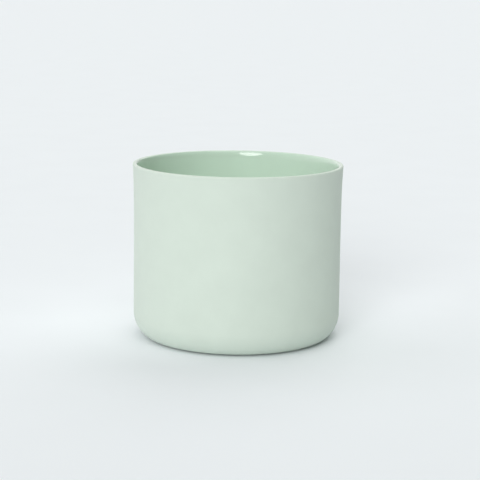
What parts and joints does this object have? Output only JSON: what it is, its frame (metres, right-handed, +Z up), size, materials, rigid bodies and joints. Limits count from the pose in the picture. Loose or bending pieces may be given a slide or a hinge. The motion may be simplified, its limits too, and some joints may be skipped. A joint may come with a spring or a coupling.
{
  "type": "brush holder pot",
  "caption": "Straight-sided round porcelain pot for standing brushes and pens in, matte outside and on its lip, with a glossy glazed inside and a softly rounded base edge.",
  "frame": {"origin": "centre of the foot, on the surface that the pot stands on", "axes": "+Z up along the pot's own axis, from the foot to the open mouth; X and Y are free, because the pot is round"},
  "size_m": [0.12, 0.12, 0.0996],
  "materials": {
    "matte_porcelain": "unglazed pale mint porcelain, smooth and matte",
    "clear_glaze": "clear glossy glaze over pale mint porcelain"
  },
  "bodies": {
    "root": {"porcelain_body": "matte_porcelain", "inner_glaze": "clear_glaze"}
  },
  "joints": []
}
